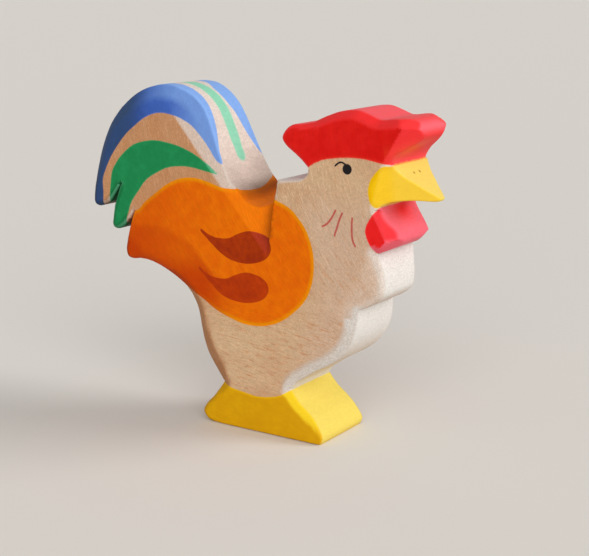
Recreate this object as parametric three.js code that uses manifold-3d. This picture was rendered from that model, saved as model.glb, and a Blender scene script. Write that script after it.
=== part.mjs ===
// A small wooden rooster, sawn from one board, bevelled by hand and coloured with stain.
// The bare block is one solid. Each coat of stain is a thin solid of its own, let into the block.
// Units are millimetres: x runs forward to the beak, y across the board, z up from the sole.
import * as THREE from "three";
import { ConvexGeometry } from "three/addons/geometries/ConvexGeometry.js";
import { mergeVertices } from "three/addons/utils/BufferGeometryUtils.js";
import Module from "manifold-3d";

const wasm = await Module();
wasm.setup();

// Main sizes
const figureLength = 106.2;
const figureHeight = 93;
const boardThickness = 22;

// Coats
const coatDepth = 0.8;
const fitGap = 0.3;
const outerFeatherWrap = 5.6;
const innerFeatherWrap = 2.5;

// How fine the curves are, and how far a cut reaches past the wood
const stepsPerSpan = 2;
const clearAway = 12;

// Bevels along the outline: how far each runs in over the side face, and how deep it cuts the edge
const sharpBevel = { run: 0.4, depth: 0.4 };
const softBevel = { run: 0.9, depth: 0.8 };
const footBevel = { run: 2.2, depth: 0.9 };
const breastBevel = { run: 2.8, depth: 1.2 };
const lobeBevel = { run: 3, depth: 2.4 };
const combBevel = { run: 1.8, depth: 2.4 };
const tailTopBevel = { run: 4.6, depth: 1.9 };
const tailRearBevel = { run: 2.2, depth: 1.3 };
const rumpBevel = { run: 2, depth: 1.2 };
const hipBevel = { run: 3, depth: 1.8 };

// The side outline, counterclockwise from the heel, as a pattern of [x, z] points in squares of a drawing.
// The main sizes set how large a square is. Each stretch runs on to the next one's first point.
const stretches = [
  { bevel: sharpBevel, points: [[-11.2, 0]] },
  { bevel: sharpBevel, points: [[23.4, 0], [24.1, 1], [24.2, 2.5]] },
  { bevel: footBevel, points: [[23, 4.6], [21.1, 6.9], [18.7, 8.9], [16.4, 10.7]] },
  { from: "ankleFront", bevel: breastBevel, points: [[13.9, 13.6], [15.3, 15.7], [17.7, 17.4],
    [21.2, 19.8], [24.8, 21.8], [28.3, 24.2], [30.9, 27], [32.8, 30.4], [33.8, 33.9]] },
  { bevel: lobeBevel, points: [[34.2, 38.2], [37, 39.5], [39.6, 41.2], [40.9, 43.2], [41.1, 46.2],
    [40.6, 49.6]] },
  { from: "wattleNotch", bevel: softBevel, points: [[39.6, 53.7], [41.4, 54.4], [43.2, 55.4],
    [44.5, 56.3], [44.9, 57.4], [44.7, 58.5], [44.1, 59.8], [42.8, 61.2], [41.6, 62.5], [40.7, 63.9]] },
  { from: "chin", bevel: sharpBevel, points: [[40.2, 65.5], [41.3, 66.3], [42.9, 66.9], [46.8, 67.2],
    [50.9, 66.9], [52.3, 67], [52.75, 67.6], [52.2, 68.2], [49.9, 69.9], [47.8, 71.6], [45.9, 73.1],
    [44.6, 74.4]] },
  { from: "browNotch", bevel: softBevel, points: [[43.3, 76.2], [43.2, 77.4], [44.4, 79], [46.4, 80.4],
    [48.4, 81.8], [49.6, 83.1], [49.8, 84.4], [49.2, 85.7], [48.1, 86.8]] },
  { bevel: combBevel, points: [[46.6, 87.5], [43.6, 87.6], [39.6, 87.2], [36.2, 88.3], [32.7, 89.2],
    [28.2, 88.7], [24.3, 87.4]] },
  { bevel: softBevel, points: [[20.4, 85.6], [17.4, 85], [14.7, 84.7], [12.6, 83.4], [11.4, 81.2],
    [12.6, 79.2], [15.4, 77.2], [17.9, 75.3]] },
  { from: "nape", bevel: sharpBevel, points: [[19.4, 73.9], [19.2, 72.3], [17.7, 71], [14.4, 70.4]] },
  { bevel: softBevel, points: [[9.8, 70], [9.5, 67.6], [8.4, 64.7], [5.8, 62.8], [2.7, 62.1], [-0.6, 63.4],
    [-3.4, 66.2], [-5.9, 69], [-8.1, 73], [-9.7, 76.4], [-11.5, 80.6], [-13.3, 84.5], [-15.2, 87.5],
    [-17.8, 90]] },
  { bevel: tailTopBevel, points: [[-20.8, 91.8], [-24.2, 92.8], [-28.2, 93], [-32, 92.3], [-35.7, 91.1],
    [-39.3, 89.1]] },
  { bevel: tailRearBevel, points: [[-43, 86.1], [-46.1, 82.4], [-48.5, 78.3], [-50.5, 73.7],
    [-52.1, 68.4]] },
  { bevel: softBevel, points: [[-53.2, 63.4], [-53.5, 60], [-53.1, 58.1], [-51.6, 57.5], [-49.4, 58.1]] },
  { bevel: sharpBevel, points: [[-47.2, 59.2], [-45.4, 61.5]] },
  { bevel: sharpBevel, points: [[-43, 64.6], [-44.3, 61.5]] },
  { bevel: softBevel, points: [[-45.7, 58.4], [-46.4, 55.3], [-46.8, 52.9], [-46.1, 51.7], [-44.4, 51.6]] },
  { bevel: sharpBevel, points: [[-42.2, 52.7], [-40.3, 54.9]] },
  { from: "slitTop", bevel: sharpBevel, points: [[-38.2, 57.5], [-39.4, 54.6]] },
  { bevel: softBevel, points: [[-40.5, 51.9], [-41.5, 48.6], [-42, 45.9], [-41.4, 44], [-39.8, 43.4]] },
  { bevel: rumpBevel, points: [[-37.4, 43.7], [-34.4, 43.5], [-31, 42.7], [-27.5, 41.4], [-24, 39.7],
    [-21.2, 37.9]] },
  { bevel: hipBevel, points: [[-19.4, 35.9], [-17.9, 33.1], [-16.9, 29.8], [-16.3, 26.4], [-15.6, 23.1],
    [-14.4, 19.7], [-12.6, 16.8], [-10.6, 14.3]] },
  { from: "ankleRear", bevel: softBevel, points: [[-8.5, 12.1], [-9.9, 9.9], [-11.8, 7.4], [-13.9, 5.3],
    [-15.2, 3.2], [-14.8, 1.6], [-13.4, 0.4]] },
];

// Points of the outline that the coats start or end at
const corners = {};
for (const { from, points } of stretches) if (from) corners[from] = points[0];
const { ankleFront, wattleNotch, chin, browNotch, nape, slitTop, ankleRear } = corners;

// Flat facets carved across the side faces: the crease each starts from, and its fall per millimetre
const tailFacet = { crease: [[-24.2, 85.5], [7, 49.1]], fall: 0.315, reach: 26 };
const combFacet = { crease: [[47.8, 86.9], [41.8, 76.9]], fall: 1.6, reach: 9 };
const combCorner = { crease: [[44.7, 87.1], [49, 84.5]], fall: 4, reach: 6 };
const beakFacet = { crease: [[41, 75.9], [38.6, 66.5]], fall: 0.735, reach: 18 };
const wattleFacet = { crease: [[38.9, 63.9], [42.6, 57.3]], fall: 1.35, reach: 9 };
const wattleCorner = { crease: [[44.4, 58.6], [41.5, 55.4]], fall: 3.5, reach: 5 };

// The line up the neck that ends the tail's facet
const neckWall = [[-60, 40], [7, 49.1], [9.8, 71]];

// Edges of the coats on the side face
const combLine = [nape, [22.1, 75.5], [24.7, 76.5], [28.1, 77.1], [32.5, 77.5], [36.2, 77.4], [39, 77],
  [41.5, 76.6], browNotch];
const beakLine = [[42.4, 76], [41.1, 75.8], [39.1, 73.8], [37.9, 71.8], [37.4, 69.6], [37.8, 67.4],
  [38.4, 66.2], [39.3, 65.4], chin];
const wattleLine = [chin, [39.5, 64.7], [38.2, 62.9], [37.1, 60.9], [36.8, 59.3], [37.2, 57.7], [38.3, 55.6],
  wattleNotch];
const footLine = [ankleRear, [-4.5, 11.2], [-0.7, 10.7], [3.5, 10.3], [7.7, 10.8], [11.4, 12], ankleFront];
const wingLine = [[9.6, 64.9], [14.2, 63.1], [17.2, 60.4], [19.5, 57.4], [21.2, 52.9], [21.7, 48],
  [20.9, 43.2], [19, 39.1], [15.5, 35.4], [10.9, 32.1], [5.3, 30.2], [-0.5, 30], [-5.3, 31.1],
  [-10.1, 32.8], [-15, 35.6], [-22, 38.5]];
const wingUnder = [[-26, 35], [-44.6, 40], [-44.6, 50], [-41.1, 52.4]];
const wingTopLine = [slitTop, [-36.3, 58.1], [-34.3, 60.2], [-30.5, 63], [-26.3, 65.9], [-21.6, 67.9],
  [-16.6, 68.5], [-11.7, 67.7], [-7.6, 66.6], [-3.6, 66.4]];
const wingOver = [[8.6, 66.4]];
const outerFeatherLine = [[-49.6, 57.9], [-49.3, 61.7], [-49.4, 65.1], [-48.5, 67.7], [-46.4, 71.6],
  [-43.8, 75.1], [-40.5, 78.7], [-37.2, 81.3], [-34, 83.5], [-30.8, 84.9], [-27.7, 85.4], [-24.2, 85.1],
  [-20.8, 84], [-18.1, 82.5], [-15.3, 80], [-12.6, 77], [-9.8, 73.5], [-8, 72.6]];
const outerFeatherOver = [[-5, 74]];
const innerFeatherTop = [[-47.2, 59.2], [-46.5, 64.6], [-46, 67.5], [-44.6, 70.1], [-41.8, 73.2],
  [-37.9, 76], [-34.2, 77.2], [-30, 77.8], [-25.4, 77.4], [-20.9, 76.5], [-16.5, 74.9], [-12.4, 72.6],
  [-9, 69.9]];
const innerFeatherFoot = [[-9, 69.9], [-13.1, 70.6], [-17, 71.2], [-21, 71.3], [-25.6, 70.6],
  [-29.8, 68.8], [-33.5, 66.5], [-36.2, 63.4], [-39, 59.8], [-40.4, 56.3], [-41.6, 53.2]];
const innerFeatherUnder = [[-42, 50], [-48.4, 50], [-48.4, 58.4]];
const upperMark = [[-14.4, 54.5], [-11.7, 53.2], [-8.9, 52.8], [-5.5, 53.1], [-2.8, 54.4], [0.5, 55.6],
  [3.2, 55.6], [5.8, 54.9], [7.6, 53.7], [8.3, 52], [8, 50.4], [6.6, 48.7], [4.1, 47.5], [0.9, 46.8],
  [-1.8, 46.9], [-4.8, 47.8], [-7.8, 49.4], [-10.6, 51.5]];
const markDrop = 11.3;

// Painted details of the head
const eye = { centre: [[31.4, 74.6]], radius: 1.3 };
const browStroke = { width: 0.5, points: [[27.9, 75.2], [28.9, 76], [29.9, 76.2], [31.2, 75.6]] };
const neckStrokes = {
  rear: { width: 0.5, points: [[28.1, 63.9], [27.3, 62.4], [26.2, 60.8], [25.2, 59.9], [24.2, 59.4]] },
  middle: { width: 0.5, points: [[30.1, 63.4], [29.2, 61.4], [28.4, 59], [27.8, 57.3]] },
  front: { width: 0.5, points: [[33, 62.4], [32.9, 60.2], [33, 57.9], [33.3, 56.4], [34, 55.2]] },
};
const nostril = { shareOfBeak: 0.2, offset: 1.5, radius: 0.4 };
const stripe = { width: 4.2, under: [[0, 72.6], [-20, 72.6], [-24, 84], [-36, 84]] };
const roundSides = 20;
const detailReach = 4;

// Finishes
const maple = { color: 0xd8b48c, roughness: 0.62 };
const redStain = { color: 0xd7201c, roughness: 0.45 };
const yellowStain = { color: 0xeec02a, roughness: 0.48 };
const orangeStain = { color: 0xdc6408, roughness: 0.5 };
const russetStain = { color: 0x96300f, roughness: 0.5 };
const blueStain = { color: 0x4a6cbc, roughness: 0.45 };
const greenStain = { color: 0x238f55, roughness: 0.48 };
const blackStain = { color: 0x221f21, roughness: 0.4 };
const brickStain = { color: 0xb05448, roughness: 0.6 };

const sideFace = boardThickness / 2;
const model = new THREE.Group();

function splineThrough(points, steps) {
  const curve = new THREE.SplineCurve(points.map(([x, z]) => new THREE.Vector2(x, z)));
  return curve.getPoints((points.length - 1) * steps);
}

// The outline as it is drawn, stretch by stretch, and the size of the drawing
const drawnStretches = stretches.map(({ points }, i) => {
  const line = [...points, stretches[(i + 1) % stretches.length].points[0]];
  return splineThrough(line, line.length > 2 ? stepsPerSpan : 1).slice(0, -1);
});
const drawing = new THREE.Box2().setFromPoints(drawnStretches.flat());
const drawingSize = drawing.getSize(new THREE.Vector2());
const drawingMiddle = drawing.getCenter(new THREE.Vector2());

// A point of the drawing on the figure, in millimetres from the middle of its sole
function onFigure([x, z]) {
  return [
    ((x - drawingMiddle.x) * figureLength) / drawingSize.x,
    ((z - drawing.min.y) * figureHeight) / drawingSize.y,
  ];
}

function smoothLine(points, steps = stepsPerSpan) {
  return splineThrough(points, steps).map((p) => onFigure([p.x, p.y]));
}

// The whole outline as vertices, each with the bevel that it carries
function outlineVertices() {
  return drawnStretches.flatMap((line, i) => line.map((p) => {
    const [x, z] = onFigure([p.x, p.y]);
    return { x, z, ...stretches[i].bevel };
  }));
}

// Unit normals that point out of a counterclockwise loop
function outwardNormals(loop) {
  return loop.map((_, i) => {
    const point = ({ x, z }) => new THREE.Vector2(x, z);
    const here = point(loop[i]);
    const arriving = here.clone().sub(point(loop.at(i - 1))).normalize();
    const leaving = point(loop[(i + 1) % loop.length]).sub(here).normalize();
    const along = arriving.add(leaving).normalize();
    return { x: along.y, z: -along.x };
  });
}

// The radius of the circle through a vertex and its neighbours, endless where the loop is hollow
function bendRadius(loop, i) {
  const a = loop.at(i - 1);
  const b = loop[i];
  const c = loop[(i + 1) % loop.length];
  const turn = (b.x - a.x) * (c.z - b.z) - (b.z - a.z) * (c.x - b.x);
  if (turn <= 0) return Infinity;
  const sides = Math.hypot(b.x - a.x, b.z - a.z) * Math.hypot(c.x - b.x, c.z - b.z);
  return (sides * Math.hypot(c.x - a.x, c.z - a.z)) / (2 * turn);
}

// A bevel never runs further in than its bend allows, and changes gradually along the outline
function easedBevels(loop) {
  const bendShare = 0.8;
  const runTolerance = 0.8;
  const blend = 3;
  const limited = loop.map((v, i) => {
    const run = Math.min(v.run, bendShare * bendRadius(loop, i));
    return { run, depth: v.depth * (run / v.run) };
  });
  return loop.map((_, i) => {
    let run = 0;
    let depth = 0;
    for (let k = -blend; k <= blend; k++) {
      const near = limited[(i + k + loop.length) % loop.length];
      run += near.run / (2 * blend + 1);
      depth += near.depth / (2 * blend + 1);
    }
    return { run: Math.min(run, limited[i].run + runTolerance), depth };
  });
}

function solidOf(geometry) {
  const plain = geometry.clone();
  plain.deleteAttribute("normal");
  plain.deleteAttribute("uv");
  const merged = mergeVertices(plain, 1e-4);
  return new wasm.Manifold(
    new wasm.Mesh({
      numProp: 3,
      vertProperties: merged.attributes.position.array,
      triVerts: new Uint32Array(merged.index.array),
    }),
  );
}

function geometryOf(solid) {
  const { numProp, vertProperties, triVerts } = solid.getMesh();
  const positions = new Float32Array((vertProperties.length / numProp) * 3);
  for (let i = 0; i * 3 < positions.length; i++) {
    positions.set(vertProperties.subarray(i * numProp, i * numProp + 3), i * 3);
  }
  const geometry = new THREE.BufferGeometry();
  geometry.setAttribute("position", new THREE.BufferAttribute(positions, 3));
  geometry.setIndex(new THREE.BufferAttribute(new Uint32Array(triVerts), 1));
  geometry.computeVertexNormals();
  return geometry;
}

// A straight-sided slab of a side-view loop, from yLow to yHigh
function slab(loop, yLow, yHigh) {
  const shape = new THREE.Shape(loop.map(([x, z]) => new THREE.Vector2(x, z)));
  const geometry = new THREE.ExtrudeGeometry(shape, { depth: yHigh - yLow, bevelEnabled: false });
  geometry.rotateX(Math.PI / 2);
  geometry.translate(0, yHigh, 0);
  return solidOf(geometry);
}

// The sawn block: side faces, bevels and edge, all from one outline
function bevelledBlock(loop) {
  const normals = outwardNormals(loop);
  const bevels = easedBevels(loop);
  const count = loop.length;
  const positions = [];
  const faces = [];
  for (const side of [-1, 1]) {
    for (let i = 0; i < count; i++) {
      const { run } = bevels[i];
      positions.push(loop[i].x - normals[i].x * run, side * sideFace, loop[i].z - normals[i].z * run);
    }
    for (let i = 0; i < count; i++) {
      positions.push(loop[i].x, side * (sideFace - bevels[i].depth), loop[i].z);
    }
  }
  const rings = [0, count, 3 * count, 2 * count];
  for (let r = 0; r < 3; r++) {
    for (let i = 0; i < count; i++) {
      const j = (i + 1) % count;
      faces.push(rings[r] + j, rings[r] + i, rings[r + 1] + i);
      faces.push(rings[r] + j, rings[r + 1] + i, rings[r + 1] + j);
    }
  }
  const face = loop.map((_, i) => new THREE.Vector2(positions[3 * i], positions[3 * i + 2]));
  for (const [a, b, c] of THREE.ShapeUtils.triangulateShape(face, [])) {
    faces.push(a, b, c);
    faces.push(2 * count + a, 2 * count + c, 2 * count + b);
  }
  const geometry = new THREE.BufferGeometry();
  geometry.setAttribute("position", new THREE.Float32BufferAttribute(positions, 3));
  geometry.setIndex(faces);
  return solidOf(geometry);
}

// The wedge of wood that a facet takes off one side face
function facetWedge({ crease, fall, reach }, side) {
  const [from, to] = crease.map(onFigure);
  const along = new THREE.Vector2(to[0] - from[0], to[1] - from[1]).normalize();
  const across = new THREE.Vector2(-along.y, along.x);
  const corners = [];
  for (const [end, sign] of [[from, -1], [to, 1]]) {
    for (const [out, depth] of [[-clearAway, -fall * clearAway], [reach, fall * reach],
      [reach, -fall * clearAway]]) {
      corners.push(new THREE.Vector3(
        end[0] + sign * clearAway * along.x + out * across.x,
        side * (sideFace - depth),
        end[1] + sign * clearAway * along.y + out * across.y,
      ));
    }
  }
  return solidOf(new ConvexGeometry(corners));
}

function bothSides(makeSide) {
  return makeSide(-1).add(makeSide(1));
}

// A loop moved in by an even distance; vertices that would fold over each other are dropped
function insetLoop(loop, distance) {
  const normals = outwardNormals(loop);
  const tolerance = 0.97;
  const gapTo = (p) => Math.min(...loop.map((a, i) => {
    const b = loop[(i + 1) % loop.length];
    const length = (b.x - a.x) ** 2 + (b.z - a.z) ** 2;
    const share = ((p[0] - a.x) * (b.x - a.x) + (p[1] - a.z) * (b.z - a.z)) / length;
    const t = THREE.MathUtils.clamp(share, 0, 1);
    return Math.hypot(p[0] - a.x - t * (b.x - a.x), p[1] - a.z - t * (b.z - a.z));
  }));
  return loop
    .map((v, i) => [v.x - normals[i].x * distance, v.z - normals[i].z * distance])
    .filter((p) => gapTo(p) > tolerance * distance);
}

// A loop grown by the fit gap, for the pocket that a coat lies in
function grown(loop) {
  const points = loop.map(([x, z]) => ({ x, z }));
  const turning = THREE.ShapeUtils.area(loop.map(([x, z]) => new THREE.Vector2(x, z)));
  const outwards = Math.sign(turning);
  return outwardNormals(points).map((n, i) => [
    points[i].x + outwards * n.x * fitGap,
    points[i].z + outwards * n.z * fitGap,
  ]);
}

// The wood left below the coats: the block drawn in from its outline and from both side faces
function coreBelow(block, loop, depth) {
  const slabOfCore = slab(insetLoop(loop, depth), -sideFace, sideFace);
  return slabOfCore.intersect(block.translate([0, depth, 0])).intersect(block.translate([0, -depth, 0]));
}

// Closed loops of the coats, each run round outside the block where its edge is free
const farUp = figureHeight + clearAway;
const farOut = figureLength / 2 + clearAway;
const levelOf = (point) => onFigure(point)[1];
const behindComb = 6;

function combLoop() {
  return [...smoothLine(combLine), [farOut, levelOf(browNotch)], [farOut, farUp], [behindComb, farUp],
    [behindComb, levelOf(nape)]];
}

function beakLoop() {
  return [[farOut, levelOf(chin)], [farOut, levelOf(browNotch) - fitGap], ...smoothLine(beakLine)];
}

function wattleLoop() {
  return [...smoothLine(wattleLine), [farOut, levelOf(wattleNotch)], [farOut, levelOf(chin)]];
}

function footLoop() {
  return [...smoothLine(footLine), [farOut, levelOf(ankleFront)], [farOut, -clearAway],
    [-farOut, -clearAway], [-farOut, levelOf(ankleRear)]];
}

function wingLoop() {
  return [...smoothLine(wingLine), ...wingUnder.map(onFigure), ...smoothLine(wingTopLine),
    ...wingOver.map(onFigure)];
}

function outerFeatherLoop() {
  const [front, rear] = [onFigure(outerFeatherOver[0]), smoothLine(outerFeatherLine)[0]];
  return [...smoothLine(outerFeatherLine), front, [front[0], farUp], [-farOut, farUp],
    [-farOut, rear[1] - detailReach]];
}

function innerFeatherLoop() {
  return [...smoothLine(innerFeatherTop), ...smoothLine(innerFeatherFoot).slice(1),
    ...innerFeatherUnder.map(onFigure)];
}

function markLoop(drop) {
  return smoothLine([...upperMark, upperMark[0]]).slice(0, -1).map(([x, z]) => [x, z - drop]);
}

// A brush stroke: a line of even width with round ends
function strokeLoop({ width, points }) {
  const line = smoothLine(points);
  const half = width / 2;
  const ends = 4;
  const left = [];
  const right = [];
  line.forEach(([x, z], i) => {
    const a = line[Math.max(i - 1, 0)];
    const b = line[Math.min(i + 1, line.length - 1)];
    const angle = Math.atan2(b[1] - a[1], b[0] - a[0]) + Math.PI / 2;
    left.push([x + half * Math.cos(angle), z + half * Math.sin(angle)]);
    right.unshift([x - half * Math.cos(angle), z - half * Math.sin(angle)]);
  });
  const cap = (centre, start) => {
    const angle = Math.atan2(start[1] - centre[1], start[0] - centre[0]);
    return Array.from({ length: ends - 1 }, (_, k) => {
      const turn = angle - (Math.PI * (k + 1)) / ends;
      return [centre[0] + half * Math.cos(turn), centre[1] + half * Math.sin(turn)];
    });
  };
  return [...left, ...cap(line.at(-1), left.at(-1)), ...right, ...cap(line[0], right.at(-1))];
}

function circleLoop([x, z], radius) {
  return Array.from({ length: roundSides }, (_, i) => {
    const angle = (2 * Math.PI * i) / roundSides;
    return [x + radius * Math.cos(angle), z + radius * Math.sin(angle)];
  });
}

// A side-view loop as a slab that reaches past the block: right through, or from one side only
function through(loop) {
  return slab(loop, -sideFace - clearAway, sideFace + clearAway);
}

function fromSide(loop, side, depth) {
  const inner = side * (sideFace - depth);
  const outer = side * (sideFace + clearAway);
  return slab(loop, Math.min(inner, outer), Math.max(inner, outer));
}

const outline = outlineVertices();

function carvedBlock() {
  const wall = neckWall.map(onFigure);
  const leftOfNeck = through([...wall, [wall.at(-1)[0], farUp], [wall[0][0], farUp]]);
  const tailCut = bothSides((side) => facetWedge(tailFacet, side)).intersect(leftOfNeck);
  const combCut = bothSides((side) => facetWedge(combFacet, side).add(facetWedge(combCorner, side)));
  const beakCut = bothSides((side) => facetWedge(beakFacet, side));
  const wattleCut = bothSides((side) => facetWedge(wattleFacet, side).add(facetWedge(wattleCorner, side)));
  return bevelledBlock(outline)
    .subtract(tailCut)
    .subtract(combCut.intersect(through(grown(combLoop()))))
    .subtract(beakCut.intersect(through(grown(beakLoop()))))
    .subtract(wattleCut.intersect(through(grown(wattleLoop()))));
}

const block = carvedBlock();
const coatSeat = coreBelow(block, outline, coatDepth);
const woodCore = coreBelow(block, outline, coatDepth + fitGap);
const pockets = [];

// Cuts that share a face can leave crumbs of no volume, so the largest body is the piece
function withoutCrumbs(solid) {
  return solid.decompose().reduce((a, b) => (a.volume() > b.volume() ? a : b));
}

function addPiece(name, solid, finish) {
  const material = new THREE.MeshStandardMaterial({ ...finish, metalness: 0 });
  const mesh = new THREE.Mesh(geometryOf(withoutCrumbs(solid)), material);
  mesh.name = name;
  model.add(mesh);
}

// One coat: the skin of the block inside a region, less the pockets that were taken before it
function addCoat(name, region, pocket, finish) {
  let solid = block.intersect(region).subtract(coatSeat);
  for (const taken of pockets) solid = solid.subtract(taken);
  addPiece(name, solid, finish);
  pockets.push(pocket);
}

function addThroughCoat(name, loop, finish) {
  addCoat(name, through(loop), through(grown(loop)), finish);
}

function addSideCoat(name, loop, side, wrap, finish) {
  addCoat(name, fromSide(loop, side, wrap), fromSide(grown(loop), side, wrap + fitGap), finish);
}

function addEye(name, side) {
  const pupil = circleLoop(onFigure(eye.centre[0]), eye.radius);
  const brow = strokeLoop(browStroke);
  const both = (a, b) => fromSide(a, side, detailReach).add(fromSide(b, side, detailReach));
  addCoat(name, both(pupil, brow), both(grown(pupil), grown(brow)), blackStain);
}

function pegUpwards(x, y, radius, low, high) {
  const geometry = new THREE.CylinderGeometry(radius, radius, high - low, roundSides);
  geometry.rotateX(Math.PI / 2);
  geometry.translate(x, y, (low + high) / 2);
  return solidOf(geometry);
}

function addNostril(name, side) {
  const { shareOfBeak, offset, radius } = nostril;
  const x = THREE.MathUtils.lerp(onFigure(browNotch)[0], figureLength / 2, shareOfBeak);
  const low = levelOf(chin) + detailReach;
  const region = pegUpwards(x, side * offset, radius, low, figureHeight);
  const pocket = pegUpwards(x, side * offset, radius + fitGap, low, figureHeight);
  const beakOnly = through(beakLoop());
  addCoat(name, region.intersect(beakOnly), pocket.intersect(beakOnly), blackStain);
}

// The stripe down the middle of the tail's edge, over the crest and a little way down behind
function addStripe(name) {
  const under = stripe.under.map(onFigure);
  const loop = [...under, [under.at(-1)[0], farUp], [under[0][0], farUp]];
  const half = stripe.width / 2;
  addCoat(name, slab(loop, -half, half), slab(grown(loop), -half - fitGap, half + fitGap), greenStain);
}

const sides = { right: -1, left: 1 };
for (const [name, side] of Object.entries(sides)) {
  addEye(`eye_${name}`, side);
  for (const [place, stroke] of Object.entries(neckStrokes)) {
    addSideCoat(`neck_stroke_${place}_${name}`, strokeLoop(stroke), side, detailReach, brickStain);
  }
  addSideCoat(`wing_mark_upper_${name}`, markLoop(0), side, detailReach, russetStain);
  addSideCoat(`wing_mark_lower_${name}`, markLoop(markDrop), side, detailReach, russetStain);
  addNostril(`nostril_${name}`, side);
}
addStripe("tail_stripe");
for (const [name, side] of Object.entries(sides)) {
  addSideCoat(`outer_feather_${name}`, outerFeatherLoop(), side, outerFeatherWrap, blueStain);
  addSideCoat(`inner_feather_${name}`, innerFeatherLoop(), side, innerFeatherWrap, greenStain);
}
addThroughCoat("comb", combLoop(), redStain);
addThroughCoat("beak", beakLoop(), yellowStain);
addThroughCoat("wattle", wattleLoop(), redStain);
addThroughCoat("foot", footLoop(), yellowStain);
addThroughCoat("wing", wingLoop(), orangeStain);

let bareBlock = block;
for (const pocket of pockets) bareBlock = bareBlock.subtract(pocket);
addPiece("wood_block", bareBlock.add(woodCore), maple);

export default model;
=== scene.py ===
import math
import bpy
import numpy as np
from mathutils import Matrix, Vector, geometry, kdtree


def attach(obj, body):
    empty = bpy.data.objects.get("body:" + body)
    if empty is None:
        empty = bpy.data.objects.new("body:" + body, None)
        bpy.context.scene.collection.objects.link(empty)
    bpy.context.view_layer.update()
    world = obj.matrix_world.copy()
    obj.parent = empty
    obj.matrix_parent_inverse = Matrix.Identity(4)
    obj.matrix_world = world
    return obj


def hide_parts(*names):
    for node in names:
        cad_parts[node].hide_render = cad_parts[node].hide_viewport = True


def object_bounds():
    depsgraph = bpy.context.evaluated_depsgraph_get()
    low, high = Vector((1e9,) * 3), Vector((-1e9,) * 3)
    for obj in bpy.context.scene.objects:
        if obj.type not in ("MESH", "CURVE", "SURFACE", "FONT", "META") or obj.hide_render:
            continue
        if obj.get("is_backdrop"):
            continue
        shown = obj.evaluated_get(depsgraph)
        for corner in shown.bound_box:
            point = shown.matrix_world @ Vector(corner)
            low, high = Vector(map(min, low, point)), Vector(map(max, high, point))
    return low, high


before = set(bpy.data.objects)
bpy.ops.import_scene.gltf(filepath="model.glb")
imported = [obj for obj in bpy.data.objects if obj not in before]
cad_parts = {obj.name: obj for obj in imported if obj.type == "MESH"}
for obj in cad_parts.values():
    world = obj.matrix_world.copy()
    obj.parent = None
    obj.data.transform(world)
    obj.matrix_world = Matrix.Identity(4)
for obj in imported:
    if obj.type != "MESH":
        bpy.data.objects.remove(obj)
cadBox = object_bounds()
mm = 0.001
print("frame loaded:", len(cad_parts), "nodes")


# Camera
camera = {
    "place": (197.085, -287.53, 120.93),
    "turn": 33.206,
    "tilt": 12.974,
    "lens": 79.457,
    "sensor": 36,
    "nearest": 0.01,
}
turn, tilt = math.radians(camera["turn"]), math.radians(camera["tilt"])
right = Vector((math.cos(turn), math.sin(turn), 0))
ahead = Vector((-math.sin(turn) * math.cos(tilt), math.cos(turn) * math.cos(tilt), -math.sin(tilt)))
upward = right.cross(ahead)
lens = bpy.data.cameras.new("camera")
lens.lens, lens.sensor_width, lens.clip_start = camera["lens"], camera["sensor"], camera["nearest"]
cameraObject = bpy.data.objects.new("camera", lens)
station = [v * mm for v in camera["place"]]
cameraObject.matrix_world = Matrix(
    [[right[i], upward[i], -ahead[i], station[i]] for i in range(3)] + [[0, 0, 0, 1]])
bpy.context.scene.collection.objects.link(cameraObject)
bpy.context.scene.camera = cameraObject
bpy.context.scene.view_settings.view_transform = "Standard"


# The sawn pattern
board = {
    "thickness": 22,
    "length": 106.2,
    "height": 93,
    "cornerRadius": 0.4,
    "cornerGrowth": 1.6,                            # how much rounder the corner of a soft bevel is
    "spanSteps": 7,                                 # points between two points of the pattern
    "straightStep": 0.5,
    "easing": 9,                                    # points on each side that a bevel is blended with
    "edgeSteps": 12,                                # rows of faces across half of the sawn edge
}
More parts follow.
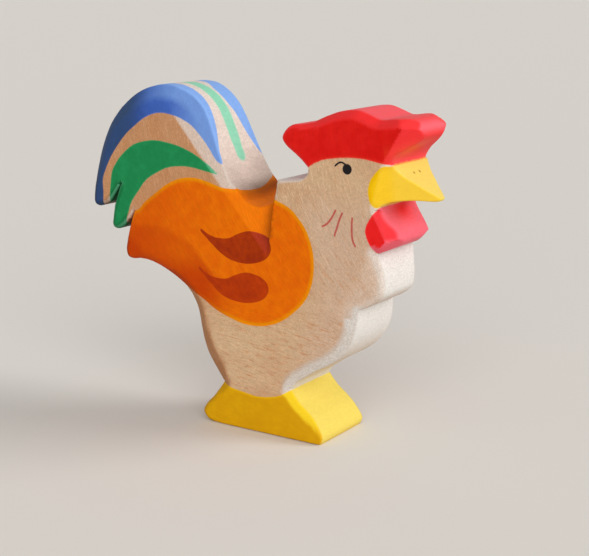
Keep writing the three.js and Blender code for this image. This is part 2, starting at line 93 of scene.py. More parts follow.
# Each stretch: how far its bevel runs in, how deep it cuts, how soft its inner line is, and its points
outlineStretches = [
    (0.4, 0.4, 0.3, [(-11.2, 0)]),
    (0.4, 0.4, 0.3, [(23.4, 0), (24.1, 1), (24.2, 2.5)]),
    (2.2, 0.9, 0.15, [(23, 4.6), (21.1, 6.9), (18.7, 8.9), (16.4, 10.7)]),
    (2.8, 1.2, 0.12, [(13.9, 13.6), (15.3, 15.7), (17.7, 17.4), (21.2, 19.8), (24.8, 21.8), (28.3, 24.2),
                      (30.9, 27), (32.8, 30.4), (33.8, 33.9)]),
    (5.6, 2.6, 0.9, [(34.2, 38.2), (37, 39.5), (39.6, 41.2), (40.9, 43.2), (41.1, 46.2)]),
    (3, 2.4, 0.2, [(40.6, 49.6)]),
    (0.9, 0.8, 0.3, [(39.6, 53.7), (41.4, 54.4), (43.2, 55.4), (44.5, 56.3), (44.9, 57.4), (44.7, 58.5),
                     (44.1, 59.8), (42.8, 61.2), (41.6, 62.5), (40.7, 63.9)]),
    (0.4, 0.4, 0.3, [(40.2, 65.5), (41.3, 66.3), (42.9, 66.9), (46.8, 67.2), (50.9, 66.9), (52.3, 67),
                     (52.75, 67.6), (52.2, 68.2), (49.9, 69.9), (47.8, 71.6), (45.9, 73.1), (44.6, 74.4)]),
    (0.9, 0.8, 0.3, [(43.3, 76.2), (43.2, 77.4), (44.4, 79), (46.4, 80.4), (48.4, 81.8), (49.6, 83.1),
                     (49.8, 84.4), (49.2, 85.7), (48.1, 86.8)]),
    (1.8, 2.4, 0.25, [(46.6, 87.5), (43.6, 87.6), (39.6, 87.2), (36.2, 88.3), (32.7, 89.2), (28.2, 88.7),
                      (24.3, 87.4)]),
    (0.9, 0.8, 0.3, [(20.4, 85.6), (17.4, 85), (14.7, 84.7), (12.6, 83.4), (11.4, 81.2), (12.6, 79.2),
                     (15.4, 77.2), (17.9, 75.3)]),
    (0.4, 0.4, 0.3, [(19.4, 73.9), (19.2, 72.3), (17.7, 71), (14.4, 70.4)]),
    (0.9, 0.8, 0.3, [(9.8, 70), (9.5, 67.6), (8.4, 64.7), (5.8, 62.8), (2.7, 62.1), (-0.6, 63.4),
                     (-3.4, 66.2), (-5.9, 69), (-8.1, 73), (-9.7, 76.4), (-11.5, 80.6), (-13.3, 84.5),
                     (-15.2, 87.5), (-17.8, 90)]),
    (4.6, 1.9, 0.12, [(-20.8, 91.8), (-24.2, 92.8), (-28.2, 93), (-32, 92.3), (-35.7, 91.1), (-39.3, 89.1)]),
    (2.2, 1.3, 0.2, [(-43, 86.1), (-46.1, 82.4), (-48.5, 78.3), (-50.5, 73.7), (-52.1, 68.4)]),
    (0.9, 0.8, 0.3, [(-53.2, 63.4), (-53.5, 60), (-53.1, 58.1), (-51.6, 57.5), (-49.4, 58.1)]),
    (0.4, 0.4, 0.3, [(-47.2, 59.2), (-45.4, 61.5)]),
    (0.4, 0.4, 0.3, [(-43, 64.6), (-44.3, 61.5)]),
    (0.9, 0.8, 0.3, [(-45.7, 58.4), (-46.4, 55.3), (-46.8, 52.9), (-46.1, 51.7), (-44.4, 51.6)]),
    (0.4, 0.4, 0.3, [(-42.2, 52.7), (-40.3, 54.9)]),
    (0.4, 0.4, 0.3, [(-38.2, 57.5), (-39.4, 54.6)]),
    (0.9, 0.8, 0.3, [(-40.5, 51.9), (-41.5, 48.6), (-42, 45.9), (-41.4, 44), (-39.8, 43.4)]),
    (2, 1.2, 0.2, [(-37.4, 43.7), (-34.4, 43.5), (-31, 42.7), (-27.5, 41.4), (-24, 39.7), (-21.2, 37.9)]),
    (3, 1.8, 0.2, [(-19.4, 35.9), (-17.9, 33.1), (-16.9, 29.8), (-16.3, 26.4)]),
    (4.2, 2.1, 0.2, [(-15.6, 23.1), (-14.4, 19.7), (-12.6, 16.8), (-10.6, 14.3)]),
    (0.9, 0.8, 0.3, [(-8.5, 12.1), (-9.9, 9.9), (-11.8, 7.4), (-13.9, 5.3), (-15.2, 3.2), (-14.8, 1.6),
                     (-13.4, 0.4)]),
]


def splineThrough(points, steps):
    points = [np.array(p, float) for p in points]
    last = len(points) - 1
    line = []
    for k in range(last * steps + 1):
        i = min(k // steps, last - 1)
        t = k / steps - i
        a, b = points[i], points[i + 1]
        before, after = points[max(i - 1, 0)], points[min(i + 2, last)]
        leave, arrive = (b - before) / 2, (after - a) / 2
        cubic = 2 * a - 2 * b + leave + arrive
        square = 3 * b - 3 * a - 2 * leave - arrive
        line.append(cubic * t**3 + square * t**2 + leave * t + a)
    return np.array(line)


drawn, bevels = [], []
for i, (run, depth, soft, points) in enumerate(outlineStretches):
    joined = points + [outlineStretches[(i + 1) % len(outlineStretches)][3][0]]
    straight = int(math.dist(*joined[:2]) / board["straightStep"])
    stretch = splineThrough(joined, board["spanSteps"] if len(joined) > 2 else straight)[:-1]
    drawn.append(stretch)
    bevels += [(run, depth, soft)] * len(stretch)
drawn, bevels = np.vstack(drawn), np.array(bevels)
drawnLow, drawnHigh = drawn.min(0), drawn.max(0)
squareSize = np.array([board["length"], board["height"]]) / (drawnHigh - drawnLow)
drawnOrigin = np.array([(drawnLow[0] + drawnHigh[0]) / 2, drawnLow[1]])


def onFigure(points):
    return (np.array(points, float).reshape(-1, 2) - drawnOrigin) * squareSize


outline = onFigure(drawn)
easing = board["easing"]
kernel = np.ones(2 * easing + 1) / (2 * easing + 1)
wrapped = np.vstack([bevels[-easing:], bevels, bevels[:easing]])
bevels = np.stack([np.convolve(wrapped[:, k], kernel, "valid") for k in range(3)], 1)


# Plane geometry
def distanceTo(points, line, closed=True):
    # Distance from each point to a line, and which span of the line is nearest
    starts = line if closed else line[:-1]
    ends = np.roll(line, -1, 0) if closed else line[1:]
    span = ends - starts
    length = np.maximum((span**2).sum(1), 1e-12)
    best = np.full(len(points), 1e9)
    nearest = np.zeros(len(points), int)
    block = 2000                                    # points at a time, to spare memory
    for low in range(0, len(points), block):
        part = slice(low, low + block)
        p = points[part, None]
        t = np.clip(((p - starts) * span).sum(2) / length, 0, 1)
        d = np.hypot(*np.moveaxis(p - starts - t[..., None] * span, 2, 0))
        nearest[part] = d.argmin(1)
        best[part] = d.min(1)
    return best, nearest


def inside(points, loop):
    x, z = points[:, 0], points[:, 1]
    result = np.zeros(len(points), bool)
    ends = np.roll(loop, -1, 0)
    for (ax, az), (bx, bz) in zip(loop, ends):
        if az != bz:
            crosses = (az > z) != (bz > z)
            result ^= crosses & (x < ax + (z - az) * (bx - ax) / (bz - az))
    return result


def depthInside(points, loop):
    d, _ = distanceTo(points, loop)
    return np.where(inside(points, loop), d, -d)


def movedLine(line, distance):
    along = np.gradient(line, axis=0)
    along /= np.maximum(np.hypot(along[:, 0], along[:, 1]), 1e-9)[:, None]
    return line + distance * np.stack([along[:, 1], -along[:, 0]], 1)


def outward(loop):
    # Unit arrows at right angles to a loop, to the right of the way it runs
    along = np.roll(loop, -1, 0) - np.roll(loop, 1, 0)
    along /= np.maximum(np.hypot(along[:, 0], along[:, 1]), 1e-9)[:, None]
    return np.stack([along[:, 1], -along[:, 0]], 1)


def grownLoop(loop, distance):
    dense = evenly(loop, 0.5, True)
    area = (dense[:, 0] * np.roll(dense[:, 1], -1) - dense[:, 1] * np.roll(dense[:, 0], -1)).sum()
    moved = dense + math.copysign(distance, area) * outward(dense)
    gap, _ = distanceTo(moved, dense)
    return moved[gap > 0.96 * abs(distance)]        # drops the points that cross over at a corner


def evenly(line, spacing, closed=False):
    if closed:
        line = np.vstack([line, line[:1]])
    steps = np.hypot(*np.diff(line, axis=0).T)
    line = line[np.append(True, steps > 1e-6)]
    travel = np.append(0, np.cumsum(np.hypot(*np.diff(line, axis=0).T)))
    count = max(2, int(round(travel[-1] / spacing)) + 1)
    at = np.linspace(0, travel[-1], count)
    result = np.stack([np.interp(at, travel, line[:, 0]), np.interp(at, travel, line[:, 1])], 1)
    return result[:-1] if closed else result


# Edges of the coats
def smooth(points, steps=6):
    return onFigure(splineThrough(points, steps))


farOut, farUp, farDown = 66, 105, -12               # well outside the figure
ankleFront, wattleNotch, chin, browNotch = (13.9, 13.6), (39.6, 53.7), (40.2, 65.5), (43.3, 76.2)
nape, slitTop, ankleRear = (19.4, 73.9), (-38.2, 57.5), (-8.5, 12.1)


def levelOf(point):
    return onFigure([point])[0][1]


def loopOf(*parts):
    return np.vstack([np.array(p, float).reshape(-1, 2) for p in parts])


combLoop = loopOf(
    smooth([nape, (22.1, 75.5), (24.7, 76.5), (28.1, 77.1), (32.5, 77.5), (36.2, 77.4), (39, 77),
            (41.5, 76.6), browNotch]),
    [(farOut, levelOf(browNotch)), (farOut, farUp), (6, farUp), (6, levelOf(nape))])
beakLoop = loopOf(
    smooth([(42.4, 76), (41.1, 75.8), (39.1, 73.8), (37.9, 71.8), (37.4, 69.6), (37.8, 67.4), (38.4, 66.2),
            (39.3, 65.4), chin]),
    [(farOut, levelOf(chin)), (farOut, levelOf(browNotch))])
wattleLoop = loopOf(
    smooth([chin, (39.5, 64.7), (38.2, 62.9), (37.1, 60.9), (36.8, 59.3), (37.2, 57.7), (38.3, 55.6),
            wattleNotch]),
    [(farOut, levelOf(wattleNotch)), (farOut, levelOf(chin))])
footLoop = loopOf(
    smooth([ankleRear, (-4.5, 11.2), (-0.7, 10.7), (3.5, 10.3), (7.7, 10.8), (11.4, 12), ankleFront]),
    [(farOut, levelOf(ankleFront)), (farOut, farDown), (-farOut, farDown), (-farOut, levelOf(ankleRear))])
wingLoop = loopOf(
    smooth([(9.6, 64.9), (14.2, 63.1), (17.2, 60.4), (19.5, 57.4), (21.2, 52.9), (21.7, 48), (20.9, 43.2),
            (19, 39.1), (15.5, 35.4), (10.9, 32.1), (5.3, 30.2), (-0.5, 30), (-5.3, 31.1), (-10.1, 32.8),
            (-15, 35.6), (-22, 38.5)]),
    onFigure([(-26, 35), (-44.6, 40), (-44.6, 50), (-41.1, 52.4)]),
    smooth([slitTop, (-36.3, 58.1), (-34.3, 60.2), (-30.5, 63), (-26.3, 65.9), (-21.6, 67.9), (-16.6, 68.5),
            (-11.7, 67.7), (-7.6, 66.6), (-3.6, 66.4)]),
    onFigure([(8.6, 66.4)]))
outerFeatherLoop = loopOf(
    smooth([(-49.6, 57.9), (-49.3, 61.7), (-49.4, 65.1), (-48.5, 67.7), (-46.4, 71.6), (-43.8, 75.1),
            (-40.5, 78.7), (-37.2, 81.3), (-34, 83.5), (-30.8, 84.9), (-27.7, 85.4), (-24.2, 85.1),
            (-20.8, 84), (-18.1, 82.5), (-15.3, 80), (-12.6, 77), (-9.8, 73.5), (-8, 72.6)]),
    onFigure([(-5, 74)]), [(-4.6, farUp), (-farOut, farUp), (-farOut, 54)])
innerFeatherLoop = loopOf(
    smooth([(-47.2, 59.2), (-46.5, 64.6), (-46, 67.5), (-44.6, 70.1), (-41.8, 73.2), (-37.9, 76),
            (-34.2, 77.2), (-30, 77.8), (-25.4, 77.4), (-20.9, 76.5), (-16.5, 74.9), (-12.4, 72.6),
            (-9, 69.9)]),
    smooth([(-9, 69.9), (-13.1, 70.6), (-17, 71.2), (-21, 71.3), (-25.6, 70.6), (-29.8, 68.8),
            (-33.5, 66.5), (-36.2, 63.4), (-39, 59.8), (-40.4, 56.3), (-41.6, 53.2)])[1:],
    onFigure([(-42, 50), (-48.4, 50), (-48.4, 58.4)]))
upperMark = [(-14.6, 54.8), (-11.7, 53.3), (-8.9, 52.8), (-5.5, 53.1), (-2.8, 54.4), (0.5, 55.6),
             (3.2, 55.6), (5.8, 54.9), (7.6, 53.7), (8.3, 52), (8, 50.4), (6.6, 48.7), (4.1, 47.5),
             (0.9, 46.8), (-1.8, 46.8), (-5, 47.3), (-8, 48.7), (-10.9, 50.8), (-13.2, 52.7), (-14.9, 54.2),
             (-14.6, 54.8)]
upperTail = [(-14.5, 54.4), (-13.6, 53.7), (-12.4, 52.9), (-10.5, 51.8), (-8, 51)]


def lowered(mark):
    return [(x - 0.8, 40.1 + 0.95 * (z - 51.2) + 0.09 * max(-8 - x, 0)) for x, z in mark]


upperMarkLoop = smooth(upperMark)[:-1]
lowerMarkLoop = smooth(lowered(upperMark))[:-1]
markTails = [smooth(upperTail), smooth(lowered(upperTail))]
pupil = {"centre": (31.4, 74.6), "radius": 1.35}
brow = smooth([(27.9, 75.2), (28.9, 76), (29.9, 76.2), (31.2, 75.6)])
strokes = {
    "rear": smooth([(28.1, 63.9), (27.3, 62.4), (26.2, 60.8), (25.2, 59.9), (24.2, 59.4)]),
    "middle": smooth([(30.1, 63.4), (29.2, 61.4), (28.4, 59), (27.8, 57.3)]),
    "front": smooth([(33, 62.4), (32.9, 60.2), (33, 57.9), (33.3, 56.4), (34, 55.2)]),
}
strokeHalf, browHalf = 0.28, 0.24
nostrils = {"x": 45.57, "offset": 1.5, "radius": 0.36, "above": 70}
seamMargin = 0.6                                    # bare wood that a coat's piece carries round its edge
strokeMargin = 0.3                                  # the same round the eye and the painted strokes


def roundLoop(centre, radius, count=32):
    angle = np.arange(count) * 2 * math.pi / count
    return onFigure([centre])[0] + radius * np.stack([np.cos(angle), np.sin(angle)], 1)


# How thick the carved wood is at (x, z)
facets = {
    "tail": {"crease": [(-24.2, 85.5), (7, 49.1)], "fall": 0.315, "soft": 0.35},
    "comb": {"crease": [(47.8, 86.9), (41.8, 76.9)], "fall": 1.6, "soft": 0.35},
    "combCorner": {"crease": [(44.7, 87.1), (49, 84.5)], "fall": 4, "soft": 0.25},
    "beak": {"crease": [(41, 75.9), (38.6, 66.5)], "fall": 0.735, "soft": 0.35},
    "wattle": {"crease": [(38.9, 63.9), (42.6, 57.3)], "fall": 1.35, "soft": 0.35},
    "wattleCorner": {"crease": [(44.4, 58.6), (41.5, 55.4)], "fall": 3.5, "soft": 0.25},
}
neckWall = onFigure([(7, 49.1), (9.8, 71)])
carving = {
    "blend": 0.3,                                   # how far two cuts run into one another
    "crisp": 0.3,                                   # how soon a facet ends at the brow
    "gentle": 0.8,                                  # and at the chin
    "wallFoot": 48,                                 # where the wall behind the neck begins
    "headFrom": 30,                                 # the head's facets lie in front of this
}


def softRamp(u, soft):
    return np.where(u > soft, u, np.where(u < -soft, 0, (u + soft) ** 2 / (4 * soft)))


def softLarger(a, b, blend):
    blend = np.maximum(np.minimum(blend, (a + b) / 2), 1e-9)
    return np.maximum(a, b) + np.maximum(blend - np.abs(a - b), 0) ** 2 / (4 * blend)


def beyond(points, crease):
    (ax, az), (bx, bz) = onFigure(crease)
    length = math.hypot(bx - ax, bz - az)
    return ((points[:, 1] - az) * (bx - ax) - (points[:, 0] - ax) * (bz - az)) / length


def step(value, width):
    t = np.clip(value / width + 0.5, 0, 1)
    return t * t * (3 - 2 * t)


def halfThickness(points):
    d, nearest = distanceTo(points, outline)
    run, depth, soft = bevels[nearest].T
    cut = depth * softRamp(1 - d / np.maximum(run, 0.2), np.maximum(soft, 0.02))
    parts = {name: f["fall"] * softRamp(beyond(points, f["crease"]), f["soft"])
             for name, f in facets.items()}
    x, z = points.T
    crisp, gentle = carving["crisp"], carving["gentle"]
    aboveChin, underChin = levelOf(chin) - 0.5, levelOf(chin) - 0.6
    head = step(x - carving["headFrom"], 1)
    wallX = np.interp(z, neckWall[:, 1], neckWall[:, 0])
    behindWall = step(wallX - x, crisp) * step(z - carving["wallFoot"], 0.5)
    combBand = step(z - levelOf(browNotch) + 0.2, crisp) * head
    beakBand = step(levelOf(browNotch) + 0.1 - z, crisp) * step(z - aboveChin, gentle) * head
    wattleBand = step(underChin - z, gentle) * step(z - levelOf(wattleNotch) - 0.2, 0.5) * head
    blend = carving["blend"]
    combCut = softLarger(parts["comb"], parts["combCorner"], blend)
    wattleCut = softLarger(parts["wattle"], parts["wattleCorner"], blend)
    for facetCut in (parts["tail"] * behindWall, combCut * combBand, parts["beak"] * beakBand,
                     wattleCut * wattleBand):
        cut = softLarger(cut, facetCut, blend)
    roundness = np.clip((soft - 0.4) / 0.5, 0, 1)
    r = board["cornerRadius"] * (1 + board["cornerGrowth"] * roundness)
    rim = np.clip(r - d, 0, r)
    return board["thickness"] / 2 - cut - (r - np.sqrt(np.maximum(r * r - rim * rim, 0)))


# One side face as a fine sheet
sheet = {
    "besideOutline": (0.07, 0.2, 0.4, 0.7, 1.15, 1.8, 2.6, 3.5, 4.7),
    "fine": 0.55,                                   # between points along the outline
    "coarse": 0.8,                                  # the same, further in than "fineTo"
    "fineTo": 3,
    "besideCrease": (-0.6, -0.3, 0, 0.3, 0.6),
    "crease": 0.7,
    "besideWall": (-0.15, 0.15),
    "colour": 0.6,                                  # between points along the edges of the colours
    "margin": 0.8,
    "stroke": 0.25,
    "markTail": 0.35,
    "grid": 1.1,
    "closest": 0.22,
    "gridClear": 0.55,
}


def pointsBesideOutline():
    rows = []
    for distance in sheet["besideOutline"]:
        dense = evenly(outline, sheet["fine"] if distance < sheet["fineTo"] else sheet["coarse"], True)
        moved = dense - distance * outward(dense)
        gap, _ = distanceTo(moved, outline)
        rows.append(moved[(gap > 0.97 * distance) & inside(moved, outline)])
    return np.vstack(rows)


def gridPoints():
    spacing = sheet["grid"]
    xs = np.arange(-54, 54, spacing)
    zs = np.arange(0, 94, spacing * 0.866)          # rows of even triangles
    return np.array([(x + (k % 2) * spacing / 2, z) for k, z in enumerate(zs) for x in xs])


bigLoops = {"comb": combLoop, "beak": beakLoop, "wattle": wattleLoop, "foot": footLoop, "wing": wingLoop,
            "outer_feather": outerFeatherLoop, "inner_feather": innerFeatherLoop}
markLoops = {"wing_mark_upper": upperMarkLoop, "wing_mark_lower": lowerMarkLoop}


def paintLines():
    # Lines that the sheet's edges must follow: (points, closed)
    lines = []
    for loop in list(bigLoops.values()) + list(markLoops.values()):
        lines.append((evenly(loop, sheet["colour"], True), True))
        lines.append((evenly(grownLoop(loop, seamMargin), sheet["margin"], True), True))
    lines.append((roundLoop(pupil["centre"], pupil["radius"]), True))
    lines.append((roundLoop(pupil["centre"], pupil["radius"] + strokeMargin), True))
    for line, half in [(brow, browHalf)] + [(line, strokeHalf) for line in strokes.values()]:
        dense = evenly(line, sheet["stroke"])
        lines.append((dense, False))
        for offset in (half, -half, half + strokeMargin, -half - strokeMargin):
            lines.append((movedLine(dense, offset), False))
    for offset in sheet["besideWall"]:
        lines.append((evenly(neckWall, sheet["colour"]) + [offset, 0], False))
    return lines + [(evenly(tail, sheet["markTail"]), False) for tail in markTails]


def sideSheet():
    vertices = [outline]
    edges = [(i, (i + 1) % len(outline)) for i in range(len(outline))]
    offset = len(outline)
    for line, closed in paintLines():
        count = len(line)
        vertices.append(line)
        edges += [(offset + i, offset + (i + 1) % count) for i in range(count if closed else count - 1)]
        offset += count
    fixed = np.vstack(vertices)
    loose = [pointsBesideOutline()]
    for f in facets.values():
        dense = evenly(onFigure(f["crease"]), sheet["crease"])
        loose += [movedLine(dense, offset) for offset in sheet["besideCrease"]]
    loose = np.vstack(loose)
    loose = loose[inside(loose, outline)]
    gap, _ = distanceTo(loose, outline)
    needed = np.minimum(sheet["closest"], 0.6 * gap + 0.03)
    tree = treeOf(fixed)
    loose = np.array([p for p, clear in zip(loose, needed) if tree.find((*p, 0))[2] > clear])
    tree = treeOf(np.vstack([fixed, loose]))
    grid = gridPoints()
    grid = grid[inside(grid, outline)]
    grid = np.array([p for p in grid if tree.find((*p, 0))[2] > sheet["gridClear"]])
    everything = [Vector(p) for p in np.vstack([fixed, loose, grid])]
    found = geometry.delaunay_2d_cdt(everything, edges, [], 0, 1e-4, False)
    points = np.array([tuple(p) for p in found[0]])
    triangles = np.array([f for f in found[2] if len(f) == 3])
    middles = points[triangles].mean(1)
    triangles = triangles[inside(middles, outline)]
    used = np.unique(triangles)
    renumber = np.full(len(points), -1)
    renumber[used] = np.arange(len(used))
    return points[used], renumber[triangles]


def treeOf(points):
    tree = kdtree.KDTree(len(points))
    for i, p in enumerate(points):
        tree.insert((p[0], p[1], 0), i)
    tree.balance()
    return tree


def onlyThis(piece):
    bpy.ops.object.select_all(action="DESELECT")
    piece.hide_viewport = False
    piece.select_set(True)
    bpy.context.view_layer.objects.active = piece


def sawnBlank():
    points, triangles = sideSheet()
    height = halfThickness(points)
    mesh = bpy.data.meshes.new("blank")
    rows = np.stack([points[:, 0], -height, points[:, 1]], 1) * mm
    first, second, third = (points[triangles[:, k]] for k in range(3))
    area = np.cross(second - first, third - first)
    triangles = np.where(area[:, None] > 0, triangles, triangles[:, ::-1])
    mesh.from_pydata(rows.tolist(), [], triangles.tolist())
    blank = bpy.data.objects.new("blank", mesh)
    bpy.context.scene.collection.objects.link(blank)
    onlyThis(blank)
    # The sawn edge: the side's rim is drawn across the board in even steps, then the half is mirrored
    bpy.ops.object.mode_set(mode="EDIT")
    bpy.ops.mesh.select_mode(type="EDGE")
    bpy.ops.mesh.select_all(action="DESELECT")
    bpy.ops.mesh.select_non_manifold(extend=False, use_wire=False, use_boundary=True, use_multi_face=False,
                                     use_non_contiguous=False, use_verts=False)
    for k in range(board["edgeSteps"], 0, -1):
        bpy.ops.mesh.extrude_edges_move()
        bpy.ops.transform.resize(value=(1, (k - 1) / k, 1), center_override=(0, 0, 0))
    bpy.ops.object.mode_set(mode="OBJECT")
    mirror = blank.modifiers.new("otherHalf", "MIRROR")
    mirror.use_axis = (False, True, False)
    mirror.use_clip = mirror.use_mirror_merge = True
    mirror.merge_threshold = 1e-5
    bpy.ops.object.modifier_apply(modifier=mirror.name)
    bpy.ops.object.mode_set(mode="EDIT")
    bpy.ops.mesh.select_all(action="SELECT")
    bpy.ops.mesh.normals_make_consistent(inside=False)
    bpy.ops.object.mode_set(mode="OBJECT")
    return blank


# Where each colour lies, in mm inside its edge
blueOnEdge = {
    "z": (57, 72.9, 75, 79.2, 81.6, 85, 87.2, 89.8, 91.5, 93),
    "near": (8, 9.9, 9.4, 7.8, 6.9, 6.2, 5.8, 5.4, 5.4, 5.5),
    "far": (8, 9.7, 8, 5.9, 5, 4, 3, 2.6, 2.8, 5.2),
    "rear": 6.2,
    "rearFrom": -38,
    "rearFade": 9,
    "point": (-9.5, 72.9),                          # where it ends in front
}
greenOnEdge = 8.4
saddle = {
    "y": (-11, -8.3, -4.2, 0.6, 4.4, 7.6, 11),
    "z": (67.2, 66.0, 65.5, 65.5, 66.2, 67.1, 68.2),
    "throat": (9.6, 64.9),
    "throatFrom": 2,
    "reach": (-9, 12),
    "foot": 58,
    "deepest": 3,
}
stripe = {"middle": -0.3, "half": 2.05, "end": 74.6, "foot": 68, "fadeFrom": -24, "fade": 0.25}
outside = -5


def onEdge(distance):
    return distance < 0.02


def within(value, low, high):
    return (value > low) & (value < high)


def coatDepths(at):
    x, y, z = at.T
    flat = at[:, [0, 2]]
    toOutline, _ = distanceTo(flat, outline)
    edge = onEdge(toOutline)
    depths = {name: depthInside(flat, loop) for name, loop in bigLoops.items()}
    # the blue runs over the edge and tapers to a point at the front
    near, far = (np.interp(z, blueOnEdge["z"], blueOnEdge[side]) for side in ("near", "far"))
    limit = np.where(y < 0, near, far)
    limit = limit + (blueOnEdge["rear"] - limit) * step(blueOnEdge["rearFrom"] - x, blueOnEdge["rearFade"])
    blue = np.minimum(depths["outer_feather"], np.abs(y) - limit)
    pointX, pointZ = blueOnEdge["point"]
    blue = np.where((x > pointX) & (z > 60), np.minimum(blue, z - pointZ), blue)
    depths["outer_feather"] = np.where(edge, blue, depths["outer_feather"])
    green = np.minimum(depths["inner_feather"], np.abs(y) - greenOnEdge)
    depths["inner_feather"] = np.where(edge, green, depths["inner_feather"])
    # the orange dips in the middle of the saddle
    dip = np.interp(y, saddle["y"], saddle["z"]) - z
    orange = np.where(x < saddle["throatFrom"], dip, levelOf(saddle["throat"]) - z)
    inSaddle = edge & within(x, *saddle["reach"]) & (z > saddle["foot"])
    depths["wing"] = np.where(inSaddle, np.minimum(orange, saddle["deepest"]), depths["wing"])
    # the green stripe has a round end in front and fades over the crest
    across = np.abs(y - stripe["middle"])
    body = stripe["half"] * np.clip((z - stripe["foot"]) / 10, 0.85, 1) - across
    tip = stripe["half"] * 0.9 - np.hypot(across, np.minimum(z - stripe["end"], 0) * 0.9)
    striped = np.where(z < stripe["end"], tip, body)
    striped = np.where(edge & (z > stripe["foot"]) & (x < 0), striped, outside)
    depths["tail_stripe"] = striped - np.maximum(stripe["fadeFrom"] - x, 0) * stripe["fade"]
    for name, loop in markLoops.items():
        depths[name] = np.where(edge, outside, depthInside(flat, loop))
    eye = pupil["radius"] - np.hypot(*(flat - onFigure([pupil["centre"]])[0]).T)
    toBrow, _ = distanceTo(flat, brow, False)
    depths["eye"] = np.where(edge, outside, np.maximum(eye, browHalf - toBrow))
    for name, line in strokes.items():
        toStroke, _ = distanceTo(flat, line, False)
        depths["neck_stroke_" + name] = np.where(edge, outside, strokeHalf - toStroke)
    spot = nostrils["radius"] - np.hypot(x - nostrils["x"], np.abs(y) - nostrils["offset"])
    depths["nostril"] = np.where(edge & within(z, nostrils["above"], levelOf(browNotch)), spot, outside)
    return depths, toOutline


nested = {"eye": strokeMargin, "neck_stroke_rear": strokeMargin, "neck_stroke_middle": strokeMargin,
          "neck_stroke_front": strokeMargin, "wing_mark_upper": seamMargin, "wing_mark_lower": seamMargin,
          "nostril": 0.4}
broad = ["tail_stripe", "outer_feather", "inner_feather", "comb", "beak", "wattle", "foot", "wing"]
whole = {"tail_stripe", "comb", "beak", "wattle", "foot", "wing"}


def regionNames(depths, at):
    stack = np.stack([depths[name] for name in broad])
    best = stack.argmax(0)
    names = np.array(broad, object)[best]
    names[stack.max(0) < -seamMargin] = "wood_block"
    for name, margin in nested.items():
        names[depths[name] > -margin] = name
    side = np.where(at[:, 1] < 0, "_right", "_left")
    return np.array([n if n in whole or n == "wood_block" else n + s for n, s in zip(names, side)], object)


def setAttribute(mesh, name, values):
    mesh.attributes.new(name, "FLOAT", "POINT").data.foreach_set("value", np.asarray(values, np.float32))


def vertexPlaces(mesh):
    places = np.zeros(len(mesh.vertices) * 3)
    mesh.vertices.foreach_get("co", places)
    return places.reshape(-1, 3) / mm


def hump(value, middle, width):
    return np.exp(-(((value - middle) / width) ** 2))


blank = sawnBlank()
at = vertexPlaces(blank.data)
print("blank:", len(blank.data.vertices), "vertices,", len(blank.data.polygons), "faces")
depths, toOutline = coatDepths(at)
x, y, z = at.T
onWall = onEdge(toOutline)
onSide = ~onWall
toRim = np.where(onWall, halfThickness(at[:, [0, 2]]) - np.abs(y), toOutline)
normals = np.zeros(len(blank.data.vertices) * 3)
blank.data.vertices.foreach_get("normal", normals)
normals = normals.reshape(-1, 3)
slant = 1 - np.abs(normals[:, 1])
facing = step(slant - 0.03, 0.04)                   # 1 on the carved faces, 0 on the flat sides
inComb = depths["comb"] > np.maximum(depths["beak"], -1)
inBeak = depths["beak"] > np.maximum(depths["comb"], -1)
inWattle, inFoot, inBlue = (depths[name] > -1 for name in ("wattle", "foot", "outer_feather"))
inSlits = (toOutline < 1.2) & (x < -36) & within(z, 42, 65.5)
shades = dict(depths)                               # what the materials read at each point
# The slit's wall is green all over, and over the brow the red is thin and the yellow runs under it
slitWall = onWall & within(x, -47.5, -42.5) & (z < 66)
shades["inner_feather"] = np.where(slitWall, 1.0, depths["inner_feather"])
shades["comb"] = np.where(onWall & (x > 38) & (z < 81), depths["comb"] * 0.4, depths["comb"])
shades["beak"] = np.where(onWall & (z > 74), depths["beak"] + 0.6, depths["beak"])

# Bare carved faces are paler than the side faces. Painted light: palest where they face the front and top;
# the faces behind the thigh that look backward and the slits get no pale
paleness = {
    "side": 0.7,
    "wall": 0.3,
    "rear": 0.15,
    "breast": 0.85,
    "cheek": 0.3,
    "tail": 0.72,
    "tailFoot": 0.08,
}
# painted light: faces turned to the front and top are made paler
litFacing = np.clip(0.5 + 0.9 * (0.8 * normals[:, 0] + 0.6 * normals[:, 2]), 0, 1)
# painted shade: faces behind the thigh that look backward stay unlit and turn tan
thighBack = step(-normals[:, 0] - 0.1, 0.25) * (x < 0) * (z < 42)
pale = paleness["side"] * facing + paleness["wall"] * onWall
pale = pale * (paleness["rear"] + (1 - paleness["rear"]) * litFacing) * (1 - thighBack)
breast = onSide & (x > 11) & within(z, 13, 39) & (toOutline < 2.9)
pale = np.where(breast, np.maximum(pale, paleness["breast"] * step(slant - 0.03, 0.05)), pale)
cheek = onSide & (x > 24) & within(z, 36, 53)
cheekPale = paleness["cheek"] + (1 - paleness["cheek"]) * step(1.6 - toOutline, 1.2)
pale = np.where(cheek, pale * cheekPale, pale)
tailFront = onWall & (x < 0) & (z > 60)
pale = np.where(tailFront, pale * (paleness["tail"] - paleness["tailFoot"] * step(76 - z, 14)), pale)
shades["pale"] = np.where(onWall & inSlits, 0, pale)
shades["sawn"] = breast
shades["wall"] = onWall
